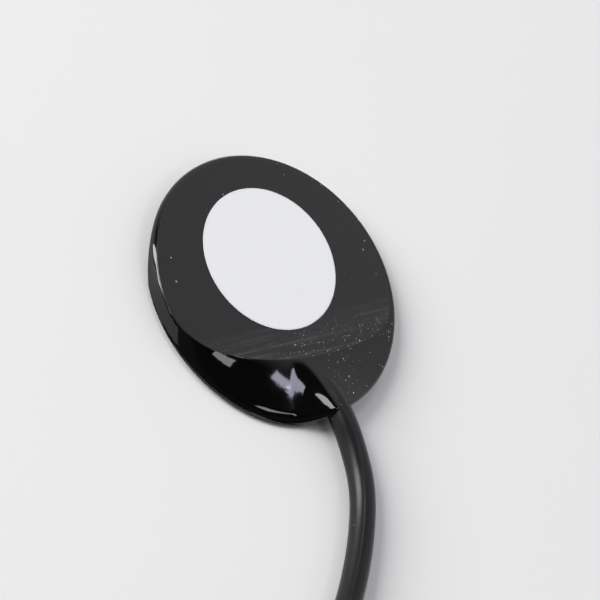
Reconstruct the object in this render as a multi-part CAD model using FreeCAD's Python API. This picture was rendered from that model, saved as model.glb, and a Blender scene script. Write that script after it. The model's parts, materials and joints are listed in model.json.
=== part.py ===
"""Stick-on contact pickup: a cast resin head round a piezo disc, with a thin screened lead and a 3.5 mm plug.

Millimetres. The origin is the centre of the head's flat underside, +Z points out of the labelled face and
+X is the way the lead leaves the head. Everything lies on the plane Z = 0.
"""

import FreeCAD
import Part

import math
import os

Vec = FreeCAD.Vector
UP = Vec(0, 0, 1)
ALONG = Vec(1, 0, 0)
FULL_TURN = 360
CUBIC = 3

# Resin head
body_radius = 10.8
face_height = 1.38
top_edge_radius = 0.25
bottom_edge_radius = 0.3
foot_inset = 0.4
cut_radius = 32.0
cut_reach = 6.4
cut_side = 2.2
ridge_rise = 1.0
ridge_near_width = 2.1
ridge_far_width = 3.6
near_drop = 0.65
near_width = 7.0
near_bend = 1.3
snout_length = 0.75
snout_half_width = 2.1
flat_core_radius = 5.6
rim_columns = 60
rim_rows = 4
edge_steps = 2

# Face film and label
film_margin = 0.35
film_thickness = 0.12
label_radius = 5.88
label_thickness = 0.06
label_centre = (-1.93, 0.39)

# Piezo stack, counted up from the underside
skin_below_plate = 0.25
plate_radius = 9.0
plate_thickness = 0.2
ceramic_radius = 6.0
ceramic_thickness = 0.2
electrode_margin = 0.5
electrode_thickness = 0.04

# Lead
cable_diameter = 2.0
core_diameter = 0.8
conductor_diameter = 0.3
shield_tail_diameter = 0.6
exit_offset = 1.03
exit_lift = 0.2
jacket_inset = 1.6

# Joints in the head
signal_joint = (4.3, 1.0)
ground_joint_angle = math.radians(22.5)
joint_radius = 0.8
joint_height = 0.42
bead_top_share = 0.55
core_bared = 2.8

# Lead's route over the bench, as points chosen by hand: along X, along Y, lift above lying flat
lead_route = [
    (body_radius - jacket_inset, exit_offset, exit_lift),
    (13.5, 1.24, 0.14),
    (17.1, 0.65, 0.02),
    (21.25, -1.69, 0.0),
    (25.57, -5.26, 0.0),
    (29.0, -9.6, 0.0),
    (32.6, -15.0, 0.0),
]
tail_route = [
    (39.5, -19.4, 3.9),
    (48.0, -21.6, 3.9),
    (57.6, -21.4, 3.3),
]
arc_share = 0.45
straight_into_plug = 9.0

# Coil of the put-away length
coil_centre = (44.2, -6.5)
coil_mean_radius = 11.6
coil_columns = 4
top_columns = 2
row_rise = 1.95
coil_corner = 0.6

# Plug, counted along its axis from the handle's rear end
plug_x = 64.1
plug_rear_y = -12.9
handle_radius = 4.0
handle_length = 18.0
handle_rear_radius = 2.4
handle_taper_length = 6.5
handle_rear_wall = 2.5
cable_hole_clearance = 0.15
grip_grooves = 6
grip_start = 8.4
groove_pitch = 1.6
groove_width = 0.6
groove_depth = 0.25
collar_radius = 3.6
collar_length = 1.6
shank_radius = 1.75
shank_length = 14.0
boss_radius = 2.6
boss_length = 4.5
thread_clearance = 0.05
rod_radius = 0.6
insulator_wall = 0.5
tip_length = 4.2
insulator_ring_length = 0.8
tip_neck_radius = 1.2
tip_land = 0.4
tip_slope = 0.5
tip_cone = 1.3
tip_end_radius = 0.35
edge_break = 0.35
lug_thickness = 0.35
washer_thickness = 0.8
washer_inset = 0.15
lug_width = 1.9
tongue_width = 0.95
tip_lug_length = 3.4
liner_wall = 0.2
liner_clearance = 0.05
jacket_inside_plug = 6.0
clamp_length = 2.0
clamp_gap = 1.3
joggle_length = 0.9

# Joints in the plug
plug_core_bared = 1.6
conductor_straight = 0.8
conductor_on_lug = 1.7
plug_shield_bared = 3.0
tip_joint_inset = 1.1
tip_joint_height = 0.6
sleeve_joint_inset = 0.3
sleeve_joint_radius = 0.63
sleeve_joint_height = 0.72

# Worked out from the sizes above
film_radius = body_radius - film_margin
ground_joint_radius = (plate_radius + ceramic_radius) / 2
ground_joint = (ground_joint_radius * math.cos(ground_joint_angle), ground_joint_radius * math.sin(ground_joint_angle))
cable_radius = cable_diameter / 2
stack_bottom = skin_below_plate
ceramic_bottom = stack_bottom + plate_thickness
electrode_bottom = ceramic_bottom + ceramic_thickness
electrode_top = electrode_bottom + electrode_thickness
film_top = face_height + film_thickness
cut_middle = (cut_reach - cut_radius, cut_side)
jacket_end = Vec(lead_route[0][0], lead_route[0][1], cable_radius + lead_route[0][2])
coil_inner_radius = coil_mean_radius - coil_columns * cable_radius
coil_outer_radius = coil_mean_radius + coil_columns * cable_radius
coil_two_rows = cable_diameter + row_rise
coil_height = cable_diameter + 2 * row_rise
bore_radius = boss_radius + thread_clearance
tube_radius = rod_radius + insulator_wall
boss_rear = handle_length - boss_length
ground_lug_rear = boss_rear - lug_thickness
washer_rear = ground_lug_rear - washer_thickness
tip_lug_rear = washer_rear - lug_thickness
rod_end = tip_lug_rear - lug_thickness
collar_front = handle_length + collar_length
shank_front = collar_front + shank_length
tip_rear = shank_front - tip_length
insulator_rear = tip_rear - insulator_ring_length
lug_ring_radius = bore_radius - liner_wall - 2 * liner_clearance
strip_radius = math.sqrt(lug_ring_radius ** 2 - (lug_width / 2) ** 2) - lug_thickness
tongue_bottom = rod_radius + lug_thickness
tongue_rear = washer_rear - tip_lug_length


# Shapes that several pieces use

def moved(shape, x=0.0, y=0.0, z=0.0):
    """A copy of a shape, shifted."""
    copy = shape.copy()
    copy.translate(Vec(x, y, z))
    return copy


def disc(radius, bottom, thickness, centre=(0.0, 0.0)):
    """A flat round disc, square to Z."""
    return Part.makeCylinder(radius, thickness, Vec(centre[0], centre[1], bottom))


def corner_arc(before, here, after, radius):
    """The tangent arc that rounds one corner, as its start, middle and end."""
    back = (before - here).normalize()
    ahead = (after - here).normalize()
    half_turn = (math.pi - back.getAngle(ahead)) / 2
    setback = radius * math.tan(half_turn)
    inward = (back + ahead).normalize()
    middle = here + inward * (radius / math.cos(half_turn) - radius)
    return here + back * setback, middle, here + ahead * setback


def rounded_edges(points, radii):
    """Straight runs through the points, joined at each inner point by a tangent arc of its own radius."""
    edges = []
    here = points[0]
    for i in range(1, len(points) - 1):
        start, middle, end = corner_arc(points[i - 1], points[i], points[i + 1], radii[i])
        edges.append(Part.LineSegment(here, start).toShape())
        edges.append(Part.Arc(start, middle, end).toShape())
        here = end
    edges.append(Part.LineSegment(here, points[-1]).toShape())
    return edges


def turned(outline):
    """A solid turned about the X axis from an outline of (along, radius) points."""
    points = [Vec(a, r, 0) for a, r in outline]
    return Part.Face(Part.makePolygon(points + points[:1])).revolve(Vec(), ALONG, FULL_TURN)


def rod(start, end, radius):
    """A straight round rod from one point to another."""
    return Part.makeCylinder(radius, (end - start).Length, start, end - start)


def route_radii(points):
    """Each corner's arc radius: as large as the shorter of its two runs allows."""
    radii = [0.0] * len(points)
    for i in range(1, len(points) - 1):
        back = points[i - 1] - points[i]
        ahead = points[i + 1] - points[i]
        half_turn = (math.pi - back.getAngle(ahead)) / 2
        radii[i] = arc_share * min(back.Length, ahead.Length) / math.tan(half_turn)
    return radii


def tube_along(points, radius):
    """A round tube that follows straight runs joined by tangent arcs."""
    wire = Part.Wire(rounded_edges(points, route_radii(points)))
    start = Part.Wire(Part.makeCircle(radius, points[0], points[1] - points[0]))
    return wire.makePipe(Part.Face(start))


def bead(x, y, z, radius, height):
    """A solder joint: a low round dome on a flat face."""
    outline = [(0.0, 0.0), (radius, 0.0), (radius * bead_top_share, height), (0.0, height)]
    points = [Vec(r, 0, h) for r, h in outline]
    dome = Part.Face(Part.makePolygon(points + points[:1])).revolve(Vec(), UP, FULL_TURN)
    return moved(dome, x, y, z)


def without(shape, others):
    """A shape with the room of the others taken out of it."""
    result = shape
    for other in others:
        result = result.cut(other)
    return result


def main_solid(shape):
    """The solid that a shape holds, and the largest one if a cut leaves slivers beside it."""
    return max(shape.Solids, key=lambda solid: solid.Volume)


# Resin head

def ease(t):
    """A smooth step from 0 to 1."""
    t = max(0.0, min(1.0, t))
    return t * t * (3 - 2 * t)


def resin_height(x, y):
    """Height of the resin's top: flat up to the film's cut, then a ridge over the lead and a falling near flank."""
    past_cut = math.hypot(x - cut_middle[0], y - cut_middle[1]) - cut_radius
    beyond = max(0.0, past_cut / (body_radius - cut_reach))
    across = y - exit_offset
    width = ridge_near_width if across < 0 else ridge_far_width
    ridge = ridge_rise * ease(beyond) / (1 + (across / width) ** 2)
    drop = near_drop * min(1.0, beyond) ** near_bend * ease(-across / near_width)
    return face_height + ridge - drop


def rim_radius(angle):
    """Radius of the head's outline: round, with a short snout where the lead leaves."""
    exit_angle = math.atan2(exit_offset, body_radius)
    off = (angle - exit_angle + math.pi) % (2 * math.pi) - math.pi
    return body_radius + snout_length * math.exp(-(off * body_radius / snout_half_width) ** 2)


def rim_section(angle):
    """The resin's section at one angle, as (radius, height): the rows of its top, then the steps round its edge."""
    outer = rim_radius(angle)
    edge_start = outer - top_edge_radius
    top_rows = []
    for k in range(rim_rows + 1):
        r = flat_core_radius + (edge_start - flat_core_radius) * k / rim_rows
        top_rows.append((r, resin_height(r * math.cos(angle), r * math.sin(angle))))
    top = top_rows[-1][1]
    edge = [top_rows[-1]]
    for k in range(1, edge_steps + 1):
        swing = math.pi / 2 * k / edge_steps
        edge.append((edge_start + top_edge_radius * math.sin(swing), top - top_edge_radius * (1 - math.cos(swing))))
    foot = outer - foot_inset - bottom_edge_radius
    for k in range(edge_steps + 1):
        swing = math.pi / 2 * k / edge_steps
        edge.append((foot + bottom_edge_radius * math.cos(swing), bottom_edge_radius * (1 - math.sin(swing))))
    return top_rows, edge


def rim_poles(row):
    """Control points of one closed cubic ring that passes by its (radius, height) at each angle."""
    step = 2 * math.pi / rim_columns
    spread = CUBIC / (2 + math.cos(step))
    return [
        Vec(r * spread * math.cos(i * step), r * spread * math.sin(i * step), z)
        for i, (r, z) in enumerate(row)
    ]


def ring_wire(poles):
    """A closed smooth curve from its control points."""
    curve = Part.BSplineCurve()
    count = len(poles)
    curve.buildFromPolesMultsKnots(poles, [1] * (count + 1), list(range(count + 1)), True, CUBIC)
    return Part.Wire(curve.toShape())


def resin_blank():
    """The outer form of the casting: a smooth top carried round the rim, an edge in steps and flat faces."""
    sections = [rim_section(2 * math.pi * i / rim_columns) for i in range(rim_columns)]
    top_rows = list(zip(*[top for top, edge in sections]))
    edge_rows = list(zip(*[edge for top, edge in sections]))
    spans = len(top_rows) - CUBIC
    surface = Part.BSplineSurface()
    surface.buildFromPolesMultsKnots(
        [rim_poles(row) for row in top_rows],
        [CUBIC + 1] + [1] * (spans - 1) + [CUBIC + 1],
        [1] * (rim_columns + 1),
        list(range(spans + 1)),
        list(range(rim_columns + 1)),
        False,
        True,
        CUBIC,
        CUBIC,
    )
    rings = [ring_wire(rim_poles(row)) for row in edge_rows]
    core = ring_wire(rim_poles(top_rows[0]))
    faces = [surface.toShape(), Part.Face(core), Part.Face(rings[-1])]
    faces += Part.makeLoft(rings, False, True).Faces
    shell = Part.makeShell(faces)
    shell.sewShape()
    solid = Part.makeSolid(shell)
    if solid.Volume < 0:
        solid.reverse()
    return solid


def face_film():
    """The matt film on the flat face, cut off along a shallow arc."""
    film = disc(film_radius, face_height, film_thickness)
    return film.common(disc(cut_radius, face_height, film_thickness, cut_middle))


def white_label():
    """The round white label on the film."""
    return disc(label_radius, film_top, label_thickness, label_centre)


def piezo_stack():
    """The bender: brass plate, ceramic disc and its fired silver face."""
    return {
        "brass_plate": disc(plate_radius, stack_bottom, plate_thickness),
        "piezo_ceramic": disc(ceramic_radius, ceramic_bottom, ceramic_thickness),
        "silver_electrode": disc(ceramic_radius - electrode_margin, electrode_bottom, electrode_thickness),
    }


def head_wires(jacket):
    """The bared end of the lead in the head, and the two joints that it ends in."""
    conductor_radius = conductor_diameter / 2
    signal_end = Vec(signal_joint[0], signal_joint[1], electrode_top + joint_height / 2)
    run = (signal_end - jacket_end).normalize()
    behind = jacket_end - run * conductor_diameter
    core_end = jacket_end + run * core_bared
    shield_radius = shield_tail_diameter / 2
    shield_start = jacket_end + Vec(0, (core_diameter + shield_tail_diameter) / 2, 0)
    ground_end = Vec(ground_joint[0], ground_joint[1], ceramic_bottom + joint_height / 2 + shield_radius / 2)
    shield_behind = shield_start - (ground_end - shield_start).normalize() * shield_tail_diameter
    conductor = rod(behind, signal_end, conductor_radius)
    conductor = conductor.cut(jacket)
    dielectric = rod(behind, core_end, core_diameter / 2)
    dielectric = without(dielectric, [jacket, conductor])
    shield = rod(shield_behind, ground_end, shield_radius)
    shield = without(shield, [jacket, dielectric])
    signal = bead(signal_joint[0], signal_joint[1], electrode_top, joint_radius, joint_height)
    ground = bead(ground_joint[0], ground_joint[1], ceramic_bottom, joint_radius, joint_height + shield_radius)
    return {
        "head_conductor": main_solid(conductor),
        "head_dielectric": main_solid(dielectric),
        "head_shield": main_solid(shield),
        "signal_solder": main_solid(signal.cut(conductor)),
        "ground_solder": main_solid(ground.cut(shield)),
    }


# Lead

def lifted(route):
    """A route's points, each lifted from lying flat on the bench."""
    return [Vec(x, y, cable_radius + lift) for x, y, lift in route]


def cable_coil():
    """The outer form of the put-away turns: two full rows and one turn on the outer columns."""
    ledge = coil_outer_radius - top_columns * cable_diameter
    outline = [
        (coil_inner_radius, 0.0),
        (coil_outer_radius, 0.0),
        (coil_outer_radius, coil_height - coil_corner),
        (coil_outer_radius - coil_corner, coil_height),
        (ledge + coil_corner, coil_height),
        (coil_inner_radius + coil_corner, coil_two_rows),
        (coil_inner_radius, coil_two_rows - coil_corner),
    ]
    points = [Vec(r, 0, z) for r, z in outline]
    face = Part.Face(Part.makePolygon(points + points[:1]))
    return moved(face.revolve(Vec(), UP, FULL_TURN), coil_centre[0], coil_centre[1])


def tail_points():
    """The tail's route, which ends on the plug's axis inside the handle."""
    inside = Vec(plug_x, plug_rear_y + jacket_inside_plug, handle_radius)
    return lifted(tail_route) + [inside - Vec(0, straight_into_plug, 0), inside]


# Plug, built along the X axis from the handle's rear end

def grip_rings():
    """Outline points of the grip's V grooves, from the rear one forward."""
    points = []
    for i in range(grip_grooves):
        middle = grip_start + i * groove_pitch
        points += [
            (middle - groove_width / 2, handle_radius),
            (middle, handle_radius - groove_depth),
            (middle + groove_width / 2, handle_radius),
        ]
    return points


def plug_handle():
    """The screwed handle: a tapered rear, a grooved grip and a bore for the boss."""
    hole = cable_radius + cable_hole_clearance
    return turned([
        (0.0, hole),
        (0.0, handle_rear_radius - edge_break),
        (edge_break, handle_rear_radius),
        (handle_taper_length, handle_radius),
        *grip_rings(),
        (handle_length - edge_break, handle_radius),
        (handle_length, handle_radius - edge_break),
        (handle_length, bore_radius),
        (handle_rear_wall, bore_radius),
        (handle_rear_wall, hole),
    ])


def plug_sleeve():
    """The turned body: threaded boss, collar and shank, bored for the insulator."""
    return turned([
        (boss_rear, tube_radius),
        (boss_rear, boss_radius - edge_break),
        (boss_rear + edge_break, boss_radius),
        (handle_length, boss_radius),
        (handle_length, collar_radius),
        (collar_front - edge_break, collar_radius),
        (collar_front, collar_radius - edge_break),
        (collar_front, shank_radius),
        (insulator_rear, shank_radius),
        (insulator_rear, tube_radius),
    ])


def tip_insulator():
    """The moulded insulator: a ring behind the tip and a tube along the rod."""
    return turned([
        (washer_rear + washer_thickness, rod_radius),
        (washer_rear + washer_thickness, tube_radius),
        (insulator_rear, tube_radius),
        (insulator_rear, shank_radius),
        (tip_rear, shank_radius),
        (tip_rear, rod_radius),
    ])


def plug_tip():
    """The tip, its neck and the rod that runs back to the lug, riveted over at its end."""
    return turned([
        (rod_end, 0.0),
        (rod_end, rod_radius + lug_thickness),
        (tip_lug_rear, rod_radius + lug_thickness),
        (tip_lug_rear, rod_radius),
        (tip_rear, rod_radius),
        (tip_rear, shank_radius),
        (tip_rear + tip_land, shank_radius),
        (tip_rear + tip_land + tip_slope, tip_neck_radius),
        (shank_front - tip_cone - tip_land, shank_radius),
        (shank_front - tip_cone, shank_radius),
        (shank_front, tip_end_radius),
        (shank_front, 0.0),
    ])


def rear_insulator():
    """The washer that keeps the two lugs apart."""
    return turned([
        (washer_rear, rod_radius),
        (washer_rear, strip_radius - washer_inset),
        (ground_lug_rear, strip_radius - washer_inset),
        (ground_lug_rear, rod_radius),
    ])


def sheet_ring(rear, inner, outer):
    """A flat ring of lug sheet, square to the plug's axis."""
    return turned([
        (rear, inner),
        (rear, outer),
        (rear + lug_thickness, outer),
        (rear + lug_thickness, inner),
    ])


def tip_lug():
    """The signal lug: a ring round the rod and a tongue that runs back above the axis."""
    ring = sheet_ring(tip_lug_rear, rod_radius, tongue_bottom + lug_thickness)
    tongue = Part.makeBox(tip_lug_length, tongue_width, lug_thickness,
                          Vec(tongue_rear, -tongue_width / 2, tongue_bottom))
    return main_solid(ring.fuse(tongue).removeSplitter())


def ground_lug():
    """The earth lug: a ring under the boss, a joggled strip along the handle and a clamp bent round the lead."""
    clamp_rear = jacket_inside_plug - clamp_length
    ring = sheet_ring(ground_lug_rear, tube_radius, lug_ring_radius)
    low = -strip_radius
    high = -cable_radius
    profile = [
        (boss_rear, low),
        (jacket_inside_plug + joggle_length, low),
        (jacket_inside_plug, high),
        (clamp_rear, high),
        (clamp_rear, high - lug_thickness),
        (jacket_inside_plug, high - lug_thickness),
        (jacket_inside_plug + joggle_length, low - lug_thickness),
        (boss_rear, low - lug_thickness),
    ]
    points = [Vec(a, -lug_width / 2, z) for a, z in profile]
    strip = Part.Face(Part.makePolygon(points + points[:1])).extrude(Vec(0, lug_width, 0))
    clamp = turned([
        (clamp_rear, cable_radius),
        (clamp_rear, cable_radius + lug_thickness),
        (clamp_rear + clamp_length, cable_radius + lug_thickness),
        (clamp_rear + clamp_length, cable_radius),
    ])
    opening = Part.makeBox(clamp_length, clamp_gap, 2 * cable_radius,
                           Vec(clamp_rear, -clamp_gap / 2, 0))
    jacket = Part.makeCylinder(cable_radius, jacket_inside_plug, Vec(), ALONG)
    lug = ring.fuse([strip, clamp.cut(opening)]).cut(jacket)
    return main_solid(lug.removeSplitter())


def plug_liner():
    """The thin insulating tube that lines the handle's bore."""
    outer = bore_radius - liner_clearance
    return turned([
        (handle_rear_wall, outer - liner_wall),
        (handle_rear_wall, outer),
        (boss_rear, outer),
        (boss_rear, outer - liner_wall),
    ])


def plug_wires():
    """The bared end of the lead in the plug, and its joints on the two lugs."""
    conductor_radius = conductor_diameter / 2
    shield_radius = shield_tail_diameter / 2
    meet_height = tongue_bottom - conductor_radius
    start = jacket_inside_plug
    core_end = start + plug_core_bared
    conductor = tube_along([
        Vec(start, 0, 0),
        Vec(core_end + conductor_straight, 0, 0),
        Vec(tongue_rear + conductor_on_lug, 0, meet_height),
    ], conductor_radius)
    core = rod(Vec(start, 0, 0), Vec(core_end, 0, 0), core_diameter / 2)
    shield_end = Vec(start + plug_shield_bared, 0, shield_radius - strip_radius)
    shield_start = Vec(start, 0, shield_radius - cable_radius)
    before = shield_start - (shield_end - shield_start).normalize() * shield_tail_diameter
    jacket = Part.makeCylinder(cable_radius, start, Vec(), ALONG)
    shield = without(rod(before, shield_end, shield_radius), [jacket, core])
    tip_bead = bead(0, 0, 0, tongue_width / 2, tip_joint_height)
    tip_bead.rotate(Vec(), ALONG, FULL_TURN / 2)
    tip_joint = moved(tip_bead, tongue_rear + tip_joint_inset, 0, tongue_bottom)
    sleeve_joint = bead(shield_end.x - sleeve_joint_inset, 0, -strip_radius, sleeve_joint_radius, sleeve_joint_height)
    return {
        "plug_conductor": main_solid(conductor),
        "plug_dielectric": main_solid(core.cut(conductor)),
        "plug_shield": main_solid(shield),
        "tip_solder": main_solid(tip_joint.cut(conductor)),
        "sleeve_solder": main_solid(sleeve_joint.cut(shield)),
    }


def plug_pieces():
    """Every piece of the plug, laid on the bench with its tip pointing along +Y."""
    pieces = {
        "plug_handle": plug_handle(),
        "plug_sleeve": plug_sleeve(),
        "tip_insulator": tip_insulator(),
        "plug_tip": plug_tip(),
        "rear_insulator": rear_insulator(),
        "tip_lug": tip_lug(),
        "ground_lug": ground_lug(),
        "plug_liner": plug_liner(),
    }
    pieces.update(plug_wires())
    for shape in pieces.values():
        shape.rotate(Vec(), UP, 90)
        shape.translate(Vec(plug_x, plug_rear_y, handle_radius))
    return pieces


# The whole part

def build():
    """Every piece of the pickup by its name."""
    coil = cable_coil()
    lead_points = lifted(lead_route)
    lead = tube_along(lead_points, cable_radius)
    tail = tube_along(tail_points(), cable_radius)
    pieces = piezo_stack()
    pieces.update(head_wires(lead))
    inside = list(pieces.values())
    pieces["resin_body"] = main_solid(without(resin_blank(), inside + [lead]))
    pieces["face_film"] = face_film()
    pieces["white_label"] = white_label()
    pieces["cable_lead"] = main_solid(lead.cut(coil))
    pieces["cable_coil"] = coil
    pieces["cable_tail"] = main_solid(tail.cut(coil))
    pieces.update(plug_pieces())
    return pieces


def main():
    """Writes each piece to its own file and prints the radii of the lead's bends."""
    os.makedirs("parts", exist_ok=True)
    for name, points in (("lead", lifted(lead_route)), ("tail", tail_points())):
        print(name, "bend radii:", [round(r, 1) for r in route_radii(points)[1:-1]])
    for name, shape in build().items():
        shape.exportStep("parts/%s.step" % name)


main()
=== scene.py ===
"""Dresses a stick-on contact pickup: a glossy cast head with its film and label, a thin lead and a mini plug.

Metres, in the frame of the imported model: the origin is the centre of the head's flat underside, +Z leaves the
labelled face and +X is the way the lead leaves the head. Sizes are written as millimetres times MM.
"""

import json
import math

import bpy
import numpy as np
from mathutils import Matrix, Vector


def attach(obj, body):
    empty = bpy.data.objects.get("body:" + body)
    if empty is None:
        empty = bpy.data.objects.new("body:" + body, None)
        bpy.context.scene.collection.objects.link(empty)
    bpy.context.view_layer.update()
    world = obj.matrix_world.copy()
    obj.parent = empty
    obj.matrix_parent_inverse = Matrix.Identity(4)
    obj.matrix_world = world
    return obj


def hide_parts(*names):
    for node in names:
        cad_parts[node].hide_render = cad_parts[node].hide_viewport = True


bl_info = {
    "name": "Contact Pickup",
    "version": (1, 0, 0),
    "blender": (4, 5, 0),
    "location": "3D View > Sidebar > Pickup",
    "description": "Builds the visible surfaces of a stick-on contact pickup with its lead and plug",
    "category": "Add Mesh",
}

MM = 0.001
TURN = 2 * math.pi
BODY = "root"

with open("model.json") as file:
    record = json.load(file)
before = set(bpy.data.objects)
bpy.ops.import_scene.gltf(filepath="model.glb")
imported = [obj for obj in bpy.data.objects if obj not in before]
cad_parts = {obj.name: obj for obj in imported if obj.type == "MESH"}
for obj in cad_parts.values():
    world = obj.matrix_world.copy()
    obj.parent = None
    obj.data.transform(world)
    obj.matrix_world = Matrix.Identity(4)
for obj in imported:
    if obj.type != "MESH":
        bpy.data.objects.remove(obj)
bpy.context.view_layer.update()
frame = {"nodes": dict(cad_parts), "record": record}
mounts = {mount["name"]: mount for mount in frame["record"]["mounts"]}
shank = mounts["plug_shank"]

# Along the plug's axis, from the handle's rear end to the shank's mount
REAR_TO_SHANK = 24.7 * MM

# The lead's route in the bench plane and in height, from inside the resin to the first turn of the coil
LEAD_ROUTE = (
    (8.0, 1.03, 0.95),
    (9.3, 1.03, 1.22),
    (11.4, 1.1, 1.42),
    (13.7, 1.22, 1.1),
    (17.1, 0.65, 1.02),
    (21.25, -1.69, 1.0),
    (25.57, -5.26, 1.0),
    (29.0, -9.6, 1.0),
)

# The lead is drawn in where the resin grips its buried end: shares of its thickness at the route's first points
BURIED_SHARES = (0.7, 0.95)

# The route from the coil's last turn to the lead's end inside the plug
TAIL_ROUTE = (
    (48.0, -21.6, 4.9),
    (57.6, -21.4, 4.3),
    (64.1, -15.9, 4.0),
    (64.1, -6.9, 4.0),
)


def size(name, description, millimetres):
    """A length property, given in millimetres and kept in metres."""
    return bpy.props.FloatProperty(
        name=name, description=description, default=millimetres * MM, min=0.0, unit="LENGTH", precision=5
    )


def offset(name, description, millimetres):
    """A length property that may be negative."""
    return bpy.props.FloatProperty(
        name=name, description=description, default=millimetres * MM, unit="LENGTH", precision=5
    )


def share(name, description, default, top=1.0):
    """A plain number property between 0 and its top."""
    return bpy.props.FloatProperty(name=name, description=description, default=default, min=0.0, max=top)


def tint(name, description, *default):
    """A colour property."""
    return bpy.props.FloatVectorProperty(
        name=name, description=description, default=default, min=0.0, max=1.0, subtype="COLOR", size=3
    )


class HeadSettings(bpy.types.PropertyGroup):
    """Sizes and colours of the cast head, its film and its label."""

    radius: size("Radius", "Radius of the round head", 10.78)
    face_height: size("Face height", "Height of the resin's flat face", 1.38)
    foot_height: size("Foot height", "Height of the rounding at the underside", 0.3)
    foot_inset: size("Foot inset", "How far the wall leans in from the rim to its foot", 0.75)
    off_round: size("Off round", "How far the casting bulges to the far side and falls short on the near side", 0.17)
    edge_radius: size("Edge radius", "Rounding where the top meets the wall", 0.35)
    flank_edge: size("Flank edge", "How much rounder that edge is at the steep flank", 0.5)
    cut_radius: size("Cut radius", "Radius of the shallow arc along which the film ends", 32.0)
    cut_reach: size("Cut reach", "Where that arc crosses the middle of the head", 6.4)
    cut_side: size("Cut side", "How far off the lead's side of the middle the arc's highest point lies", 2.2)
    exit_side: size("Exit side", "How far off the middle the lead leaves", 1.03)
    ridge_rise: size("Ridge rise", "Height of the resin's ridge over the lead", 0.82)
    ridge_near: size("Ridge near width", "Half width of the ridge on its steep side", 2.5)
    ridge_far: size("Ridge far width", "Half width of the ridge on its gentle side", 3.6)
    near_drop: size("Near drop", "How far the resin's steep flank falls", 0.95)
    snout_length: size("Snout length", "How far the resin runs out past the rim beside the lead", 0.36)
    snout_near: size("Snout near width", "Half width of that run-out on the steep side", 7.0)
    snout_far: size("Snout far width", "Half width of that run-out on the gentle side", 4.2)
    film_radius: size("Film radius", "Radius of the film on the face", 10.45)
    film_corner: size("Film corner", "How softly the film's cut runs into its rim on the steep side", 1.8)
    film_thickness: size("Film thickness", "Thickness of the film", 0.12)
    label_radius: size("Label radius", "Radius of the white label", 5.88)
    label_thickness: size("Label thickness", "Thickness of the label", 0.06)
    label_x: offset("Label X", "Label's centre along X", -1.93)
    label_y: offset("Label Y", "Label's centre along Y", 0.39)
    resin_color: tint("Resin", "Colour of the cast resin", 0.0022, 0.0022, 0.0024)
    film_color: tint("Film", "Colour of the film", 0.0075, 0.0075, 0.0078)
    label_color: tint("Label", "Colour of the label", 0.83, 0.838, 0.85)
    scuffs: share("Scuffs", "How strongly the film's scuffed band shows", 0.8)
    dust: share("Dust", "How much dust lies on the head", 0.5)


class LeadSettings(bpy.types.PropertyGroup):
    """Sizes and colour of the lead, its put-away coil and the tie round it."""

    diameter: size("Diameter", "Diameter of the lead", 2.0)
    length: size("Length", "Length of the lead from the resin to the plug", 600.0)
    coil_x: size("Coil X", "Centre of the coil along X", 44.2)
    coil_y: offset("Coil Y", "Centre of the coil along Y", -6.5)
    outer_turn: size("Outer turn", "Radius of the outermost turn's centreline", 14.6)
    columns: bpy.props.IntProperty(name="Columns", description="Turns side by side in a full row", default=4, min=2)
    row_rise: size("Row rise", "Height from one row of turns to the next", 1.98)
    tie_width: size("Tie width", "Width of the tie round the coil", 3.2)
    tie_thickness: size("Tie thickness", "Thickness of the tie", 0.35)
    tie_tail: size("Tie tail", "Length of the tie's twisted ends", 9.0)
    jacket_color: tint("Jacket", "Colour of the lead's jacket", 0.0085, 0.0086, 0.009)
    tie_color: tint("Tie", "Colour of the tie", 0.028, 0.028, 0.03)


class PlugSettings(bpy.types.PropertyGroup):
    """Sizes and colour of the plug, counted along its axis from the handle's rear end."""

    handle_radius: size("Handle radius", "Radius of the handle", 4.0)
    handle_length: size("Handle length", "Length of the handle", 18.0)
    rear_radius: size("Rear radius", "Radius of the handle's rear end", 2.4)
    taper_length: size("Taper length", "Length of the handle's tapered rear", 6.5)
    bore_radius: size("Bore radius", "Radius of the handle's bore", 2.65)
    rear_wall: size("Rear wall", "Thickness of the handle's rear wall", 2.5)
    hole_radius: size("Hole radius", "Radius of the hole for the lead", 1.15)
    collar_radius: size("Collar radius", "Radius of the collar before the shank", 3.6)
    collar_length: size("Collar length", "Length of that collar", 1.6)
    shank_radius: size("Shank radius", "Radius of the plug's shank", shank["dims"]["r_mm"])
    shank_length: size("Shank length", "Length of the shank with its tip", 14.0)
    tip_length: size("Tip length", "Length of the tip", 4.2)
    ring_length: size("Ring length", "Length of the insulating ring behind the tip", 0.8)
    boss_radius: size("Boss radius", "Radius of the threaded boss inside the handle", 2.6)
    boss_length: size("Boss length", "Length of that boss", 4.5)
    tube_radius: size("Tube radius", "Radius of the insulating tube round the rod", 1.1)
    rod_radius: size("Rod radius", "Radius of the tip's rod", 0.6)
    knurls: bpy.props.IntProperty(name="Knurls", description="Knurl lines round the grip", default=34, min=8)
    knurl_depth: size("Knurl depth", "Depth of the fine knurling between the grip's grooves", 0.07)
    grooves: bpy.props.IntProperty(name="Grooves", description="Ring grooves in the grip", default=6, min=0)
    groove_start: size("Groove start", "Where the first groove lies", 8.4)
    groove_pitch: size("Groove pitch", "Distance from groove to groove", 1.6)
    groove_width: size("Groove width", "Width of a groove", 0.6)
    groove_depth: size("Groove depth", "Depth of a groove", 0.25)
    metal_color: tint("Plating", "Colour of the nickel plating", 0.70, 0.68, 0.64)
    handle_color: tint("Handle", "Colour of the handle's plating", 0.62, 0.61, 0.60)
    insulator_color: tint("Insulator", "Colour of the insulating ring", 0.012, 0.012, 0.013)


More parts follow.
